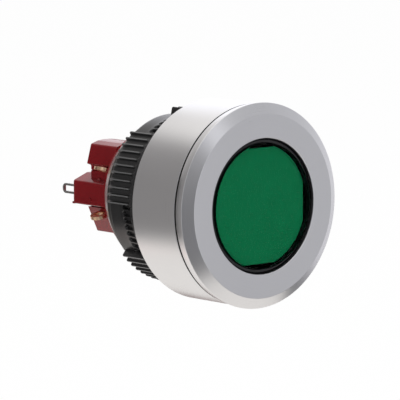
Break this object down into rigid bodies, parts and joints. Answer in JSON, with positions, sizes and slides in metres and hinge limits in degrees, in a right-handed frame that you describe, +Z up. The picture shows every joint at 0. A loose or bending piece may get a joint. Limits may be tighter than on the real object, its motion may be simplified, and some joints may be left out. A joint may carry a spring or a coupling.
{
  "type": "industrial push button",
  "caption": "Illuminated flush push button with a round metal bezel, green lens, ribbed black lock nut and a red switch block with solder lugs.",
  "frame": {"origin": "on the button's axis, in the bezel's rear face, where the panel's front lies", "axes": "-Y out of the button face, +Y into the cabinet, +X to the right seen from the front, +Z up"},
  "size_m": [0.03, 0.0379, 0.03],
  "materials": {
    "aluminium": "satin turned aluminium",
    "sleeve_metal": "threaded aluminium",
    "rubber": "black sealing rubber",
    "black_plastic": "matt black moulded plastic",
    "clear_lens": "clear moulded lens",
    "green_plate": "green translucent plate",
    "white_plastic": "white moulded plastic",
    "spring_steel": "bright spring wire",
    "red_moulding": "dark red moulding with a soft gloss",
    "brass": "plain brass",
    "lamp_glass": "clear lamp dome",
    "tinned_strip": "tinned copper strip",
    "gold_strip": "gold-plated strip",
    "silver": "silver contact"
  },
  "bodies": {
    "housing": {"front_ring": "aluminium", "bezel_body": "aluminium", "threaded_sleeve": "sleeve_metal", "panel_gasket": "rubber", "button_seal": "rubber", "switch_base": "red_moulding", "upper_cover": "red_moulding", "lower_cover": "red_moulding", "lamp_holder": "white_plastic", "lamp_base": "brass", "lamp_dome": "lamp_glass", "left_lamp_terminal": "tinned_strip", "right_lamp_terminal": "tinned_strip", "upper_fixed_contacts": "silver", "upper_left_terminal": "gold_strip", "upper_right_terminal": "gold_strip", "lower_fixed_contacts": "silver", "lower_left_terminal": "gold_strip", "lower_right_terminal": "gold_strip"},
    "button": {"lens_cap": "clear_lens", "colour_plate": "green_plate", "diffuser": "white_plastic", "button_carrier": "black_plastic", "return_spring": "spring_steel"},
    "upper_contacts": {"upper_actuator": "white_plastic", "upper_contact_bridge": "gold_strip", "upper_moving_contacts": "silver", "upper_contact_spring": "spring_steel"},
    "lower_contacts": {"lower_actuator": "white_plastic", "lower_contact_bridge": "gold_strip", "lower_moving_contacts": "silver", "lower_contact_spring": "spring_steel"},
    "pressure_ring": {"pressure_ring": "black_plastic"},
    "lock_nut": {"lock_nut": "black_plastic"}
  },
  "joints": [
    {"name": "button_press", "type": "slide", "parent": "housing", "child": "button", "axis": [0, 1, 0], "range_m": [0, 0.003], "stiffness_N_per_m": 600, "springref_m": -0.004, "deforming": ["return_spring"]},
    {"name": "upper_contact_travel", "type": "slide", "parent": "housing", "child": "upper_contacts", "axis": [0, 1, 0], "range_m": [0, 0.003], "stiffness_N_per_m": 100, "springref_m": -0.004, "deforming": ["upper_contact_spring"]},
    {"name": "lower_contact_travel", "type": "slide", "parent": "housing", "child": "lower_contacts", "axis": [0, 1, 0], "range_m": [0, 0.003], "stiffness_N_per_m": 100, "springref_m": -0.004, "deforming": ["lower_contact_spring"]},
    {"name": "nut_turn", "type": "hinge", "parent": "pressure_ring", "child": "lock_nut", "pos_m": [0, 0.005, 0], "axis": [0, 1, 0], "range_deg": [0, 2160]},
    {"name": "nut_travel", "type": "slide", "parent": "housing", "child": "pressure_ring", "axis": [0, 1, 0], "range_m": [0, 0.006]}
  ],
  "couplings": [
    {"joint": "upper_contact_travel", "follows": "button_press", "ratio": 1},
    {"joint": "lower_contact_travel", "follows": "button_press", "ratio": 1},
    {"joint": "nut_travel", "follows": "nut_turn", "m_per_rad": 0.00015915}
  ]
}
